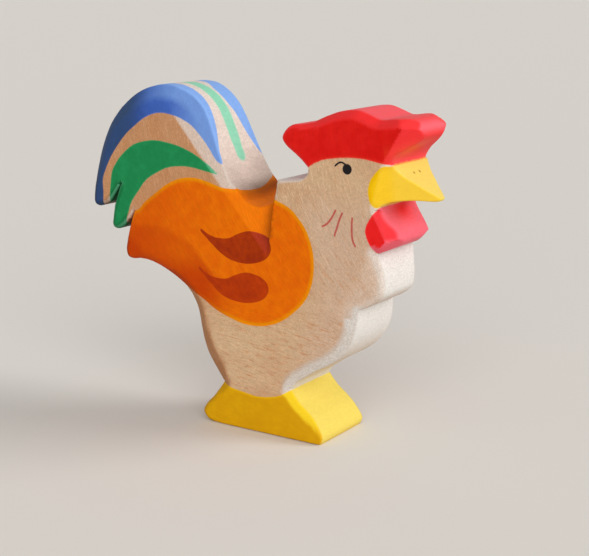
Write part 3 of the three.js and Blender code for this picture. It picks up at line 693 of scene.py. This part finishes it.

# Painted light: each stain turns towards its pale lit tone on the carved faces and walls, and stays full
# on the side faces; painted shade under the beak on the wattle's front and towards the rear of the blue
thinness = {
    "comb": {"wall": 0.6, "side": 0.55, "facet": 0.25},
    "beak": {"side": 0.16, "tip": 0.2},
    "wattle": {"wall": 0.95, "chinShadow": 0.9, "side": 0.2, "foot": 0.65, "rim": 0.7},
    "foot": 0.02,
    "blue": {"facet": 0.05, "front": 0.5, "crest": 0.1},
}
thin = shades["pale"]
about = thinness["comb"]
combFront = step(x - 0.44 * (z - 76) - 41.6, 1.5)
combSide = facing * (about["side"] + about["facet"] * combFront)
thin = np.where(inComb, np.where(onWall, about["wall"], combSide), thin)
about = thinness["beak"]
thin = np.where(inBeak & onSide, facing * (about["side"] + about["tip"] * step(x - 43.5, 2)), thin)
about = thinness["wattle"]
wattleSide = about["side"] + about["foot"] * step(57.6 - z, 1.2)
wattleSide = np.maximum(wattleSide, np.clip(1 - toRim / about["rim"], 0, 1))
# painted shadow under the beak in the middle of the wattle's front
wattleWall = about["wall"] - about["chinShadow"] * hump(y, 1, 5) * hump(z, 64, 2.6)
thin = np.where(inWattle, np.where(onWall, wattleWall, facing * wattleSide), thin)
thin = np.where(inFoot & onSide, thinness["foot"], thin)
about = thinness["blue"]
blueFacet = onSide * inBlue * step(slant - 0.025, 0.04) * step(toOutline - 3.6, 1.6)
thin = thin + blueFacet * (about["facet"] + about["front"] * step(x + 20, 20) - thin)
blueSide = np.maximum(thin * step(x + 32, 22), about["crest"] * step(x + 34, 12))
shades["thin"] = np.where(inBlue & onSide, blueSide, thin)

# Spots of another tone: painted sheen in bands round the comb's front, yellow under its red, painted light on
# the toe's bevel, the rump, and painted shade on the blue at the rear of the tail
# painted sheen: pinker bands across the comb's front
combSheenBands = np.minimum(0.85 * hump(z, 85.6, 1.5) + 0.3 * hump(z, 77.6, 2), 1)
shades["combSheen"] = (inComb & onWall) * np.where(x > 42, combSheenBands, 0.5)
shades["smear"] = 0.8 * hump(z, 80 + 0.12 * (y + 4), 2) * hump(y, -4, 5) * (x > 42) * inComb
# painted light: a brighter yellow on the foot's carved faces in front
shades["toe"] = inFoot * onSide * facing * (x > 0) * step(z - 4, 6)
rumpLine = np.interp(x, [-42, -27, -18, -8], [53.8, 53.6, 50.4, 40])
below = step(rumpLine - z, 1.6) * step(-8 - x, 14)
lowRump = step(44 - z + 0.8 * np.clip(-x - 34, 0, 10), 8)
rump = below * (0.5 + 0.5 * lowRump + 0.25 * step(-30 - x, 14)) + 0.35 * (1 - below) * step(-26 - x, 16)
shades["rump"] = np.clip(rump + 0.5 * (onWall & (z < 60) & (x < -5)), 0, 1)
# painted shade: the blue darkens towards the rear of the tail
shades["rearBlueShade"] = step(-35 - x, 11) * (0.9 + 0.1 * step(slant - 0.04, 0.05))

# Painted shade: darker in the slits, the saddle's hollow, the crease under the neck and on the faces behind
# the thigh, where shade falls
inSaddle = onWall * within(x, -9, 3)
saddleShade = hump(z, 65.2, 2.3) * step(y + 8, 5) * (0.6 + 0.4 * step(y + 3, 6))
saddleShade = inSaddle * (saddleShade + 0.45 * step(y - 3, 11) * hump(z, 70, 4.5))
toNeckWall = np.interp(z, neckWall[:, 1], neckWall[:, 0]) - x
creaseShade = 0.75 * onSide * (toNeckWall > -0.2) * step(2.2 - toNeckWall, 4.4) * step(z - 53, 8) * (z < 68)
thighShade = 0.3 * thighBack * onSide * step(slant - 0.02, 0.04)
slitShade = inSlits * (x < -40) * np.where(onWall, 1, 0.4)
shades["paintedShade"] = np.max([slitShade, saddleShade, creaseShade, thighShade], axis=0)
# Paler along the rims: partly wear where hands rubbed the corners, partly painted highlight on the edges
rubbedAndLit = np.clip(1 - toRim / 0.6, 0, 1) * (1 - inSlits) * (1 - inWattle)
shades["rubAndHighlight"] = rubbedAndLit * (1 - inBlue * step(-30 - x, 10))

# Fibres lie level in the belly, foot and beak, and steeper above
shades["level"] = np.maximum(step(38 - z, 12), depths["beak"] > -1)
# Bare wood is tan in the tail, rosy in front, flecked in the belly and streaky behind the neck; the tan on
# the faces behind the thigh that look backward is painted shade
tailTan = step(-4 - x, 18) * step(z - 40, 8)
shades["tan"] = np.max([tailTan, 0.8 * tailFront, thighBack], axis=0)
shades["rosy"] = step(x - 24 + 0.25 * np.abs(z - 45), 16) * step(66 - z, 14)
shades["flecky"] = step(x + 6, 16) * step(52 - z, 16) * onSide
shades["streaky"] = step(26 - x, 16) * step(z - 58, 12) * step(x - 5, 3)
for name, values in shades.items():
    setAttribute(blank.data, name, values)

corners = np.zeros(len(blank.data.loops), int)
blank.data.loops.foreach_get("vertex_index", corners)
firsts = np.zeros(len(blank.data.polygons), int)
blank.data.polygons.foreach_get("loop_start", firsts)
sizes = np.diff(np.append(firsts, len(corners)))
faceMean = {name: np.add.reduceat(values[corners], firsts) / sizes for name, values in depths.items()}
faceMiddle = np.add.reduceat(at[corners], firsts, axis=0) / sizes[:, None]
regions = regionNames(faceMean, faceMiddle)
nodeNames = sorted(set(regions))
regionIds = np.array([nodeNames.index(name) for name in regions], np.int32)
blank.data.attributes.new("region", "INT", "FACE").data.foreach_set("value", regionIds)
print("regions:", {name: int((regions == name).sum()) for name in nodeNames})


# Cutting the blank into the bare wood and its coats
coats = {
    "comb": "red_stain",
    "beak": "yellow_stain",
    "wattle": "red_stain",
    "foot": "yellow_stain",
    "wing": "orange_stain",
    "tail_stripe": "green_stain",
    "outer_feather": "blue_stain",
    "inner_feather": "green_stain",
    "wing_mark_upper": "russet_stain",
    "wing_mark_lower": "russet_stain",
    "eye": "black_paint",
    "neck_stroke_rear": "brick_paint",
    "neck_stroke_middle": "brick_paint",
    "neck_stroke_front": "brick_paint",
    "nostril": "black_paint",
}
coatThickness = 0.8
pocketDepth = 0.9
smoothBelow = 38                                    # degrees between faces that shade as one


def nodesOf(coat):
    return [coat] if coat in whole else [coat + "_right", coat + "_left"]


def selectFaces(piece, chosen):
    bpy.ops.object.mode_set(mode="EDIT")
    bpy.ops.mesh.select_mode(type="FACE")
    bpy.ops.mesh.select_all(action="DESELECT")
    bpy.ops.object.mode_set(mode="OBJECT")
    ids = np.zeros(len(piece.data.polygons), np.int32)
    piece.data.attributes["region"].data.foreach_get("value", ids)
    piece.data.polygons.foreach_set("select", chosen(ids))
    bpy.ops.object.mode_set(mode="EDIT")


def finished(piece, name, node):
    piece.name = piece.data.name = name
    piece.data.attributes.remove(piece.data.attributes["region"])
    onlyThis(piece)
    bpy.ops.object.shade_smooth_by_angle(angle=math.radians(smoothBelow))
    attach(piece, "root")
    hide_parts(node)
    return piece


def coatPiece(node):
    onlyThis(blank)
    selectFaces(blank, lambda ids: ids == nodeNames.index(node))
    bpy.ops.mesh.separate(type="SELECTED")
    bpy.ops.object.mode_set(mode="OBJECT")
    piece = [o for o in bpy.context.selected_objects if o != blank][0]
    onlyThis(piece)
    wall = piece.modifiers.new("coatDepth", "SOLIDIFY")
    wall.thickness = coatThickness * mm
    wall.offset = -1
    bpy.ops.object.modifier_apply(modifier=wall.name)
    return finished(piece, node + "_coat", node)


def woodPiece():
    onlyThis(blank)
    bpy.ops.object.duplicate()
    piece = bpy.context.object
    selectFaces(piece, lambda ids: ids != nodeNames.index("wood_block"))
    bpy.ops.mesh.extrude_region_shrink_fatten(TRANSFORM_OT_shrink_fatten={"value": -pocketDepth * mm})
    bpy.ops.object.mode_set(mode="OBJECT")
    return finished(piece, "bare_wood", "wood_block")


pieces = {"wood_block": woodPiece()}
for coat, slot in coats.items():
    for node in nodesOf(coat):
        pieces[node] = coatPiece(node)
bpy.data.objects.remove(blank)
print("pieces:", len(pieces))


# Materials: small helpers for nodes
def place(tree, kind, feeds=None, **settings):
    made = tree.nodes.new(kind)
    for key, value in settings.items():
        setattr(made, key, value)                   # a group's own tree comes before its sockets are fed
    for key, value in (feeds or {}).items():
        if isinstance(value, bpy.types.NodeSocket):
            tree.links.new(value, made.inputs[key])
        else:
            made.inputs[key].default_value = value
    return made


def calc(tree, operation, *values):
    made = place(tree, "ShaderNodeMath", dict(enumerate(values)), operation=operation)
    return made.outputs[0]


def blendOf(tree, factor, first, second, how="MIX"):
    made = place(tree, "ShaderNodeMix", {0: factor, 6: first, 7: second}, data_type="RGBA", blend_type=how)
    return made.outputs[2]


def rampOf(tree, value, low, high, toLow=0.0, toHigh=1.0):
    feeds = {"Value": value, "From Min": low, "From Max": high, "To Min": toLow, "To Max": toHigh}
    return place(tree, "ShaderNodeMapRange", feeds, interpolation_type="SMOOTHSTEP").outputs[0]


def noiseOf(tree, vector, scale, detail=2.0, rough=0.5):
    feeds = {"Vector": vector, "Scale": scale, "Detail": detail, "Roughness": rough}
    return place(tree, "ShaderNodeTexNoise", feeds).outputs["Fac"]


def attribute(tree, name):
    return place(tree, "ShaderNodeAttribute", attribute_name=name).outputs["Fac"]


def colour(r, g, b):
    # Written as on a screen, 0 to 255, and turned into the linear values that shaders take
    shares = (r / 255, g / 255, b / 255)
    return (*[c / 12.92 if c <= 0.04045 else ((c + 0.055) / 1.055) ** 2.4 for c in shares], 1)


def greyOf(tree, value):
    return place(tree, "ShaderNodeCombineColor", {0: value, 1: value, 2: value}).outputs[0]


def spotInMm(tree):
    spot = place(tree, "ShaderNodeTexCoord").outputs["Object"]
    return place(tree, "ShaderNodeVectorMath", {0: spot, "Scale": 1 / mm}, operation="SCALE").outputs[0]


def newGroup(name, inputs, outputs):
    group = bpy.data.node_groups.new(name, "ShaderNodeTree")
    for label, kind, default in inputs:
        socket = group.interface.new_socket(label, in_out="INPUT", socket_type="NodeSocket" + kind)
        socket.default_value = default
    for label, kind in outputs:
        group.interface.new_socket(label, in_out="OUTPUT", socket_type="NodeSocket" + kind)
    return group, group.nodes.new("NodeGroupInput").outputs, group.nodes.new("NodeGroupOutput").inputs


maple = {
    "side": colour(210, 178, 141),
    "warm": colour(198, 156, 120),
    "tan": colour(190, 135, 93),
    "rosy": colour(204, 173, 148),
    # the carved faces' pale tone; where it follows the faces turned to the front and top it is painted light
    "pale": colour(221, 216, 210),
    "light": colour(230, 204, 172),
    "fleck": colour(194, 134, 90),
    # painted shade: the dark that the slits, saddle, crease and thigh are mixed towards
    "paintedShade": colour(92, 70, 50),
    "speck": colour(142, 126, 112),
    "upright": 90.0,                                # steep fibres stand upright above this height
    "turn": 0.009,                                  # how fast steep fibres turn forward on their way down
    "slope": 0.12,                                  # how much level fibres climb
    "waver": 4.0,
    "wallStretch": -0.85,                           # fibres run on across the sawn edge
    "fibre": (3.6, 3.0, 0.14),                      # fineness, detail, and width over length
    "flecks": (2.4, 2.0, 0.13),
    "bands": (0.25, 2.0, 0.1),
    "blotches": 0.05,
    "dots": 2.6,
    "specks": 0.42,
    "paintedShadeDepth": 0.75,
    "shine": 0.06,
    "rough": (0.5, 0.64),
    "relief": 0.05,                                 # mm
}
woodShades = ("pale", "sawn", "wall", "level", "tan", "rosy", "streaky", "flecky")


def stretched(group, along, across, depth, stretch):
    shortened = calc(group, "MULTIPLY", along, stretch)
    return place(group, "ShaderNodeCombineXYZ", {0: across, 1: depth, 2: shortened}).outputs[0]


def grainGroup():
    group, given, result = newGroup(
        "mapleGrain", [(label.capitalize(), "Float", 0.0) for label in woodShades],
        [("Color", "Color"), ("Height", "Float"), ("Fibre", "Float"), ("Blotch", "Float")])
    spot = spotInMm(group)
    x, y, z = place(group, "ShaderNodeSeparateXYZ", {0: spot}).outputs
    drop = calc(group, "MAXIMUM", calc(group, "SUBTRACT", maple["upright"], z), 0.0)
    bend = calc(group, "MULTIPLY", calc(group, "MULTIPLY", drop, drop), maple["turn"])
    wander = calc(group, "MULTIPLY", noiseOf(group, spot, maple["blotches"], 1.0), maple["waver"])
    steep = calc(group, "ADD", wander, calc(group, "SUBTRACT", x, bend))
    level = calc(group, "ADD", wander, calc(group, "MULTIPLY_ADD", x, maple["slope"], z))
    squeeze = calc(group, "MULTIPLY_ADD", given["Wall"], maple["wallStretch"], 1.0)
    depth = calc(group, "MULTIPLY", y, squeeze)

    def alongFibres(pattern):
        scale, detail, stretch = pattern
        upright = noiseOf(group, stretched(group, z, steep, depth, stretch), scale, detail, 0.6)
        lying = noiseOf(group, stretched(group, x, level, depth, stretch), scale, detail, 0.6)
        return place(group, "ShaderNodeMix", {0: given["Level"], 2: upright, 3: lying}).outputs[0]

    fibre, fleck, band = (alongFibres(maple[pattern]) for pattern in ("fibre", "flecks", "bands"))
    blotch = noiseOf(group, spot, maple["blotches"])
    dots = noiseOf(group, spot, maple["dots"], 2.0, 0.7)
    tone = blendOf(group, rampOf(group, blotch, 0.3, 0.7), maple["side"], maple["warm"])
    tone = blendOf(group, given["Tan"], tone, maple["tan"])
    tone = blendOf(group, given["Rosy"], tone, maple["rosy"])
    banded = calc(group, "MULTIPLY", rampOf(group, band, 0.35, 0.65), 0.25)
    tone = blendOf(group, banded, tone, maple["warm"])
    quiet = calc(group, "MULTIPLY_ADD", given["Pale"], -0.8, 1.0)
    much = calc(group, "MULTIPLY_ADD", given["Flecky"], 0.4, 0.3)
    dark = calc(group, "MULTIPLY", rampOf(group, fleck, 0.5, 0.72), calc(group, "MULTIPLY", quiet, much))
    tone = blendOf(group, dark, tone, maple["fleck"])
    glint = calc(group, "MULTIPLY_ADD", given["Streaky"], 0.4, 0.12)
    glint = calc(group, "MULTIPLY", rampOf(group, fibre, 0.5, 0.72), glint)
    tone = blendOf(group, glint, tone, maple["light"])
    tone = blendOf(group, given["Pale"], tone, maple["pale"])
    lightFibre = rampOf(group, fibre, 0.25, 0.75, 0.93, 1.07)
    lightDots = rampOf(group, dots, 0.3, 0.7, 0.9, 1.1)
    grey = greyOf(group, calc(group, "MULTIPLY", lightFibre, lightDots))
    tone = blendOf(group, 1.0, tone, grey, "MULTIPLY")
    speck = calc(group, "MULTIPLY", rampOf(group, dots, 0.44, 0.6), given["Sawn"])
    tone = blendOf(group, calc(group, "MULTIPLY", speck, maple["specks"]), tone, maple["speck"])
    height = calc(group, "MULTIPLY_ADD", fibre, 0.7, calc(group, "MULTIPLY", dots, 0.25))
    height = calc(group, "MULTIPLY_ADD", calc(group, "MULTIPLY", dots, given["Sawn"]), 1.5, height)
    for label, value in (("Color", tone), ("Height", height), ("Fibre", fibre), ("Blotch", blotch)):
        group.links.new(value, result[label])
    return group


dye = {
    "ripple": 0.9,                                  # how finely a stain's edge wanders
    "mottle": 0.35,
    "wornAndLitShare": 0.3,                                # how much the corners turn pale, by wear and painted highlight
    "spotStrength": 0.85,
    "rimWidth": 0.3,
    "show": 0.45,                                   # how much the fibres show through
    "smoother": 0.1,
    "relief": 0.025,                                # mm
}


def stainGroup():
    # Stain soaks in: its edge wanders and it is thinner at its rim; at the corners it turns to its pale tone,
    # partly worn by hands and partly painted highlight
    group, given, result = newGroup(
        "stainOverGrain",
        [(label, "Color", (0.8, 0.8, 0.8, 1)) for label in ("Under", "Stain", "Deep", "Rim", "WornAndLit")]
        + [(label, "Float", 0.5) for label in ("Soft", "Wander", "RimWidth", "Fibre", "Blotch", "Show")]
        + [(label, "Float", 0.0) for label in ("Depth", "RubAndHighlight")],
        [("Color", "Color"), ("Mask", "Float")])
    spot = spotInMm(group)
    ripple = calc(group, "SUBTRACT", noiseOf(group, spot, dye["ripple"], 3.0, 0.6), 0.5)
    ripple = calc(group, "MULTIPLY", ripple, 2.0)
    depth = calc(group, "MULTIPLY_ADD", ripple, given["Wander"], given["Depth"])
    mask = rampOf(group, calc(group, "DIVIDE", depth, given["Soft"]), -0.5, 0.5)
    rim = rampOf(group, calc(group, "DIVIDE", depth, given["RimWidth"]), 0.2, 1.0, 1.0, 0.0)
    mottle = noiseOf(group, spot, dye["mottle"], 3.0, 0.6)
    patch = calc(group, "MULTIPLY_ADD", given["Blotch"], 0.4, calc(group, "MULTIPLY", mottle, 0.6))
    tone = blendOf(group, rampOf(group, patch, 0.38, 0.62), given["Stain"], given["Deep"])
    tone = blendOf(group, rim, tone, given["Rim"])
    lightFibre = greyOf(group, rampOf(group, given["Fibre"], 0.25, 0.75, 0.88, 1.14))
    tone = blendOf(group, given["Show"], tone, blendOf(group, 1.0, tone, lightFibre, "MULTIPLY"))
    rubbedAndLit = calc(group, "MULTIPLY", given["RubAndHighlight"], calc(group, "ADD", mottle, 0.5))
    wornAndLit = calc(group, "MULTIPLY", rampOf(group, rubbedAndLit, 0.3, 1.3), dye["wornAndLitShare"])
    tone = blendOf(group, wornAndLit, tone, given["WornAndLit"])
    group.links.new(blendOf(group, mask, given["Under"], tone), result["Color"])
    group.links.new(mask, result["Mask"])
    return group


grain, stain = grainGroup(), stainGroup()


def newMaterial(name):
    material = bpy.data.materials.new(name)
    material.use_nodes = True
    tree = material.node_tree
    tree.nodes.clear()
    return material, tree


def woodUnder(tree):
    made = place(tree, "ShaderNodeGroup", node_tree=grain)
    for label in woodShades:
        tree.links.new(attribute(tree, label), made.inputs[label.capitalize()])
    return made


def closeMaterial(tree, base, height, rough, relief):
    # painted shade: darkens the colour where the shade attribute is set
    shadeShare = calc(tree, "MULTIPLY", attribute(tree, "paintedShade"), maple["paintedShadeDepth"])
    base = blendOf(tree, shadeShare, base, blendOf(tree, 1.0, base, maple["paintedShade"], "MULTIPLY"))
    bump = place(tree, "ShaderNodeBump", {"Height": height, "Distance": relief * mm, "Strength": 1.0})
    surface = place(tree, "ShaderNodeBsdfPrincipled", {"Base Color": base, "Roughness": rough,
                                                       "Specular IOR Level": maple["shine"],
                                                       "Normal": bump.outputs[0]})
    place(tree, "ShaderNodeOutputMaterial", {"Surface": surface.outputs[0]})


# For each colour: its stain, its darker patches, its rim and its pale lit tone (painted light), as on a
# screen,
# 0 to 255
tints = {
    "comb": {"stain": (220, 28, 22), "deep": (212, 20, 14), "rim": (222, 42, 30), "pale": (245, 57, 59),
             "soft": 0.4, "wander": 0.2, "rimWidth": 0.8,
             "spots": [("smear", (252, 104, 60)), ("combSheen", (240, 108, 119))]},
    "beak": {"stain": (248, 198, 14), "deep": (244, 192, 6), "rim": (236, 184, 0), "pale": (229, 203, 94),
             "soft": 0.35, "wander": 0.2, "rimWidth": 1.2, "show": 0.25},
    "wattle": {"stain": (234, 34, 32), "deep": (228, 26, 26), "rim": (236, 42, 44), "pale": (233, 101, 115),
               "soft": 0.3, "wander": 0.15, "rimWidth": 0.6},
    "foot": {"stain": (218, 162, 0), "deep": (212, 154, 0), "rim": (226, 172, 2), "pale": (227, 202, 92),
             "soft": 0.3, "wander": 0.2, "rimWidth": 0.8, "show": 0.3, "spots": [("toe", (250, 213, 40))]},
    "wing": {"stain": (230, 112, 0), "deep": (224, 100, 0), "rim": (230, 138, 0), "pale": (246, 128, 8),
             "soft": 0.25, "wander": 0.12, "rimWidth": 1.5, "show": 0.7, "spots": [("rump", (186, 54, 0))]},
    "tail_stripe": {"stain": (130, 200, 166), "deep": (112, 190, 152), "rim": (144, 208, 178),
                    "pale": (140, 202, 172), "soft": 0.6, "wander": 0.15, "rimWidth": 0.8},
    "outer_feather": {"stain": (50, 88, 180), "deep": (44, 80, 170), "rim": (58, 96, 182),
                      "pale": (142, 182, 236), "soft": 0.25, "wander": 0.1, "rimWidth": 0.5,
                      "spots": [("rearBlueShade", (51, 70, 88))]},
    "inner_feather": {"stain": (34, 140, 82), "deep": (28, 130, 74), "rim": (40, 144, 88),
                      "pale": (120, 204, 164), "soft": 0.25, "wander": 0.1, "rimWidth": 0.5},
    "wing_mark_upper": {"stain": (168, 54, 6), "deep": (148, 42, 8), "rim": (162, 50, 6),
                        "pale": (184, 60, 40), "soft": 0.2, "wander": 0.08, "show": 1.0},
    "wing_mark_lower": {"stain": (186, 60, 4), "deep": (168, 50, 6), "rim": (178, 58, 4),
                        "pale": (190, 64, 30), "soft": 0.2, "wander": 0.08, "show": 1.0},
    "eye": {"stain": (34, 31, 33), "deep": (28, 26, 28), "rim": (40, 34, 34), "pale": (40, 36, 36),
            "soft": 0.16, "wander": 0.04},
    "neck_stroke": {"stain": (184, 86, 76), "deep": (178, 78, 68), "rim": (188, 96, 84),
                    "pale": (190, 100, 90), "soft": 0.22, "wander": 0.08},
    "nostril": {"stain": (96, 76, 20), "deep": (88, 70, 20), "rim": (112, 90, 30), "pale": (96, 76, 20),
                "soft": 0.25, "wander": 0.05},
}
# What each piece is painted with, from the bottom up: a coat's edge shows what lies beside it too
marks = ["wing_mark_upper", "wing_mark_lower"]
layers = {"comb": ["beak", "comb"], "wing": ["wing", *marks], "nostril": ["beak", "nostril"],
          **{mark: ["wing", *marks] for mark in marks}}


def stained(tree, wood, under, coat):
    about = tints["neck_stroke" if coat.startswith("neck_stroke") else coat]
    thin, pale = attribute(tree, "thin"), colour(*about["pale"])
    # painted light: the stain is mixed towards its pale lit tone
    toned = {key: blendOf(tree, thin, colour(*about[key]), pale) for key in ("stain", "deep", "rim")}
    for spot, spotColour in about.get("spots", []):
        much = calc(tree, "MULTIPLY", attribute(tree, spot), dye["spotStrength"])
        toned = {key: blendOf(tree, much, value, colour(*spotColour)) for key, value in toned.items()}
    feeds = {"Under": under, "Depth": attribute(tree, coat), "Soft": about["soft"], "Wander": about["wander"],
             "Stain": toned["stain"], "Deep": toned["deep"], "Rim": toned["rim"], "WornAndLit": pale,
             "RimWidth": about.get("rimWidth", dye["rimWidth"]), "Show": about.get("show", dye["show"]),
             "Fibre": wood["Fibre"], "Blotch": wood["Blotch"], "RubAndHighlight": attribute(tree, "rubAndHighlight")}
    return place(tree, "ShaderNodeGroup", feeds, node_tree=stain).outputs


def layeredMaterial(name, coatsOn, relief):
    material, tree = newMaterial(name)
    wood = woodUnder(tree).outputs
    tone = wood["Color"]
    for coat in coatsOn:
        layer = stained(tree, wood, tone, coat)
        tone = layer["Color"]
    rough = rampOf(tree, wood["Fibre"], 0.2, 0.8, *maple["rough"])
    rough = calc(tree, "SUBTRACT", rough, calc(tree, "MULTIPLY", layer["Mask"], dye["smoother"]))
    closeMaterial(tree, tone, wood["Height"], rough, relief)
    return material


def wear(piece, material):
    piece.data.materials.clear()
    piece.data.materials.append(material)


wear(pieces["wood_block"], layeredMaterial("bareMaple", ["inner_feather"], maple["relief"]))
for coat in coats:
    material = layeredMaterial(coat + "Stain", layers.get(coat, [coat]), dye["relief"])
    for node in nodesOf(coat):
        wear(pieces[node], material)
print("materials:", len(bpy.data.materials))


# Floor, backdrop and light
studio = {
    "floor": colour(224, 219, 212),
    "floorSize": 60,                                # m
    "floorRough": 0.8,
    "floorShine": 0.1,
    "backdrop": colour(224, 222, 219),
    "worldLevel": 0.40,
    "key": {"from": (0.76, 0.42, 0.5), "level": 1.45, "angle": 30},
    "fill": {"from": (0.55, -0.72, 0.42), "level": 1.85, "angle": 60},
}
bpy.ops.object.select_all(action="DESELECT")
bpy.ops.mesh.primitive_plane_add(size=studio["floorSize"], location=(0, 0, 0))
floor = bpy.context.object
floor.name = "floor"
material, tree = newMaterial("paleFloor")
surface = place(tree, "ShaderNodeBsdfPrincipled", {"Base Color": studio["floor"],
                                                   "Roughness": studio["floorRough"],
                                                   "Specular IOR Level": studio["floorShine"]})
place(tree, "ShaderNodeOutputMaterial", {"Surface": surface.outputs[0]})
wear(floor, material)
floor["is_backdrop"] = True

world = bpy.data.worlds.new("studio")
world.use_nodes = True
tree = world.node_tree
tree.nodes.clear()
ray = place(tree, "ShaderNodeLightPath").outputs
seen = calc(tree, "MAXIMUM", ray["Is Camera Ray"], ray["Is Glossy Ray"])
soft = place(tree, "ShaderNodeBackground", {"Color": (1, 1, 1, 1), "Strength": studio["worldLevel"]})
shown = place(tree, "ShaderNodeBackground", {"Color": studio["backdrop"], "Strength": 1.0})
mix = place(tree, "ShaderNodeMixShader", {0: seen, 1: soft.outputs[0], 2: shown.outputs[0]})
place(tree, "ShaderNodeOutputWorld", {"Surface": mix.outputs[0]})
bpy.context.scene.world = world

for name in ("key", "fill"):
    about = studio[name]
    lamp = bpy.data.lights.new(name, "SUN")
    lamp.energy, lamp.angle = about["level"], math.radians(about["angle"])
    holder = bpy.data.objects.new(name, lamp)
    holder.rotation_euler = (-Vector(about["from"])).to_track_quat("-Z", "Y").to_euler()
    bpy.context.scene.collection.objects.link(holder)

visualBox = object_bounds()
growth = [(visualBox[1][i] - visualBox[0][i] - cadBox[1][i] + cadBox[0][i]) / mm for i in range(3)]
print("box grows by", [round(value, 3) for value in growth])
